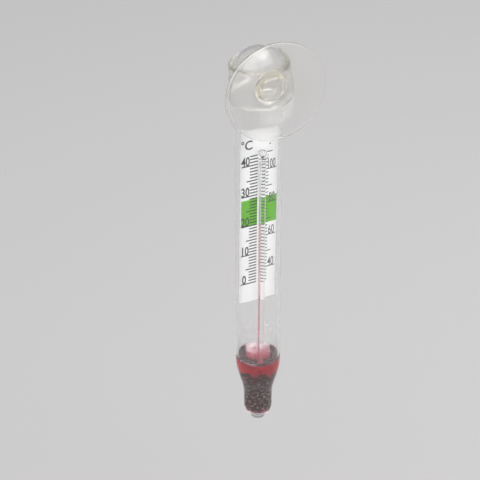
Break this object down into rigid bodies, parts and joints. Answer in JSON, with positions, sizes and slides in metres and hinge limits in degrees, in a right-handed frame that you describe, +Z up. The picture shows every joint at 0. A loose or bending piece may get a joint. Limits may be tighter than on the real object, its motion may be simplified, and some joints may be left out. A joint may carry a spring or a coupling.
{
  "type": "aquarium glass thermometer",
  "caption": "Sealed glass tube thermometer with a paper scale, red spirit column and weighted bulb, gripped by the collar of a clear suction cup.",
  "frame": {"origin": "centre of the suction cup's contact face, on the plane of the pane it sticks to", "axes": "-Y out of the cup's contact face into the pane, +Z up along the glass tube towards its domed top, +X to the right of a person facing the scale"},
  "size_m": [0.026, 0.0189, 0.1189],
  "materials": {
    "clear_pvc": "gloss",
    "clear_glass": "polished",
    "white_card": "matte",
    "steel_shot": "satin",
    "red_spirit": "gloss"
  },
  "bodies": {
    "holder": {"suction_cup": "clear_pvc"},
    "thermometer": {"jacket_tube": "clear_glass", "bulb_chamber": "clear_glass", "septum": "clear_glass", "capillary_stem": "clear_glass", "capillary_head": "clear_glass", "scale_card": "white_card", "ballast_shot": "steel_shot", "spirit_reservoir": "red_spirit"},
    "spirit": {"spirit_column": "red_spirit"}
  },
  "joints": [
    {"name": "tube_slide", "type": "slide", "parent": "holder", "child": "thermometer", "axis": [0, 0, 1], "range_m": [-0.003, 0.074]},
    {"name": "spirit_level", "type": "slide", "parent": "thermometer", "child": "spirit", "axis": [0.0008, -0.0107, 0.9999], "range_m": [-0.01896, 0.01987], "deforming": ["spirit_column"]}
  ]
}
